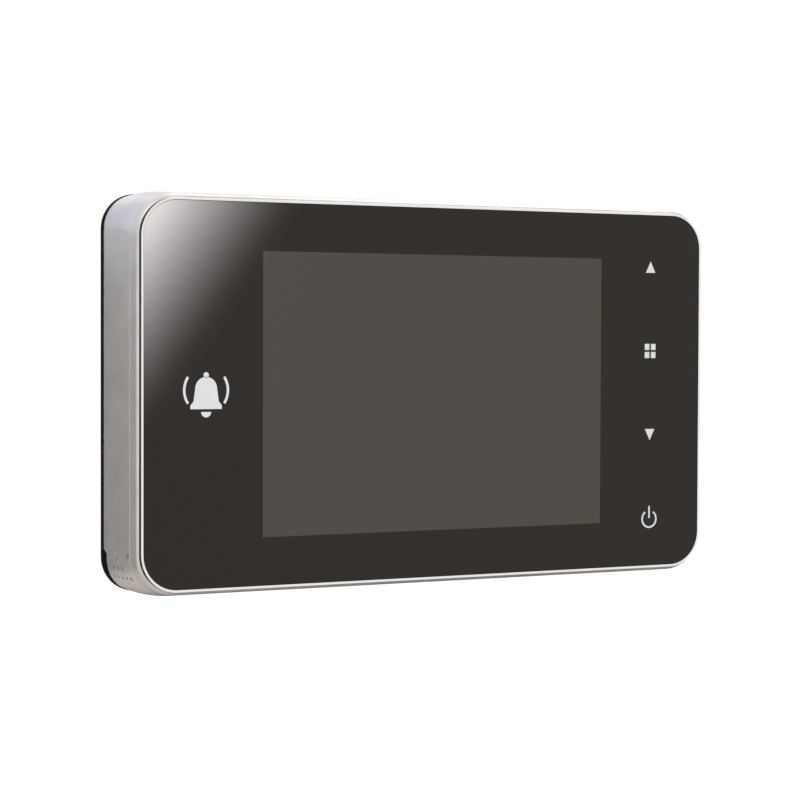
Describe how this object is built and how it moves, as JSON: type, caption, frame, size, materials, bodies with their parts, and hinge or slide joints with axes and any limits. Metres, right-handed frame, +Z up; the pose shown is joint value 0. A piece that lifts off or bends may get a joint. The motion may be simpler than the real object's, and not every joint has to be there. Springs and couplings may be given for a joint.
{
  "type": "peephole door camera",
  "caption": "Indoor screen monitor on a door bracket, joined through the door by a threaded barrel to an outdoor camera head with a bell button.",
  "frame": {"origin": "on the barrel's axis, in the plane of the door's inner face", "axes": "+Y through the door towards the street, +X to the right as seen from indoors, +Z up"},
  "size_m": [0.1402, 0.0783, 0.0846],
  "materials": {
    "front_glass": "polished glass, printed black behind",
    "bright_trim": "bright satin plating",
    "silver_shell": "silver painted moulding",
    "black_cover": "fine-grained black moulding",
    "cell_can": "printed film over the can",
    "spring_steel": "nickel plated",
    "display": "dark polariser",
    "backlight": "white reflector tray",
    "circuit_board": "green solder mask",
    "socket_body": "moulded black",
    "card_plastic": "moulded black",
    "rubber": "soft matte",
    "screw_steel": "zinc plated",
    "bracket_steel": "pressed and zinc plated",
    "sleeve_brass": "turned",
    "barrel_metal": "anodised dark",
    "head_casting": "silver painted casting",
    "lens_glass": "clear, coated",
    "bell_cap": "moulded gloss black"
  },
  "bodies": {
    "door_bracket": {"door_bracket": "bracket_steel"},
    "sleeve": {"clamp_sleeve": "sleeve_brass"},
    "outdoor_head": {"camera_barrel": "barrel_metal", "head_gasket": "rubber", "head_plate": "black_cover", "head_shell": "head_casting", "camera_board": "circuit_board", "lens_holder": "socket_body", "lens": "lens_glass", "lens_window": "lens_glass", "lens_ring": "bright_trim", "button_ring": "bright_trim", "bell_switch": "socket_body", "head_screws": "screw_steel"},
    "bell": {"bell_button": "bell_cap", "switch_plunger": "socket_body"},
    "monitor": {"front_glass": "front_glass", "chrome_trim": "bright_trim", "front_frame": "silver_shell", "main_housing": "silver_shell", "rear_cover": "black_cover", "battery_1": "cell_can", "battery_2": "cell_can", "battery_3": "cell_can", "battery_4": "cell_can", "contacts_left": "spring_steel", "contacts_right": "spring_steel", "display_panel": "display", "backlight_unit": "backlight", "touch_key_board": "circuit_board", "main_board": "circuit_board", "processor_shield": "spring_steel", "ribbon_socket": "socket_body", "usb_socket": "spring_steel", "card_socket": "spring_steel", "speaker": "socket_body", "speaker_gasket": "rubber", "housing_screws": "screw_steel", "board_screws": "screw_steel"},
    "battery_cover": {"battery_cover": "black_cover"},
    "memory_card": {"memory_card": "card_plastic"}
  },
  "joints": [
    {"name": "sleeve_turn", "type": "hinge", "parent": "door_bracket", "child": "sleeve", "pos_m": [0, 0, 0], "axis": [0, -1, 0], "range_deg": [-720, 7920]},
    {"name": "head_travel", "type": "slide", "parent": "door_bracket", "child": "outdoor_head", "axis": [0, 1, 0], "range_m": [-0.002, 0.022]},
    {"name": "bell_press", "type": "slide", "parent": "outdoor_head", "child": "bell", "axis": [0, -1, 0], "range_m": [0, 0.0008], "stiffness_N_per_m": 1500},
    {"name": "monitor_lift", "type": "slide", "parent": "door_bracket", "child": "monitor", "axis": [0, 0, 1], "range_m": [0, 0.0038]},
    {"name": "battery_cover_tilt", "type": "hinge", "parent": "monitor", "child": "battery_cover", "pos_m": [-0.0948, -0.0012, 0], "axis": [0, 0, 1], "range_deg": [0, 50]},
    {"name": "memory_card_slide", "type": "slide", "parent": "monitor", "child": "memory_card", "axis": [1, 0, 0], "range_m": [0, 0.011]}
  ],
  "couplings": [
    {"joint": "sleeve_turn", "follows": "head_travel", "rad_per_m": 6283.2}
  ]
}
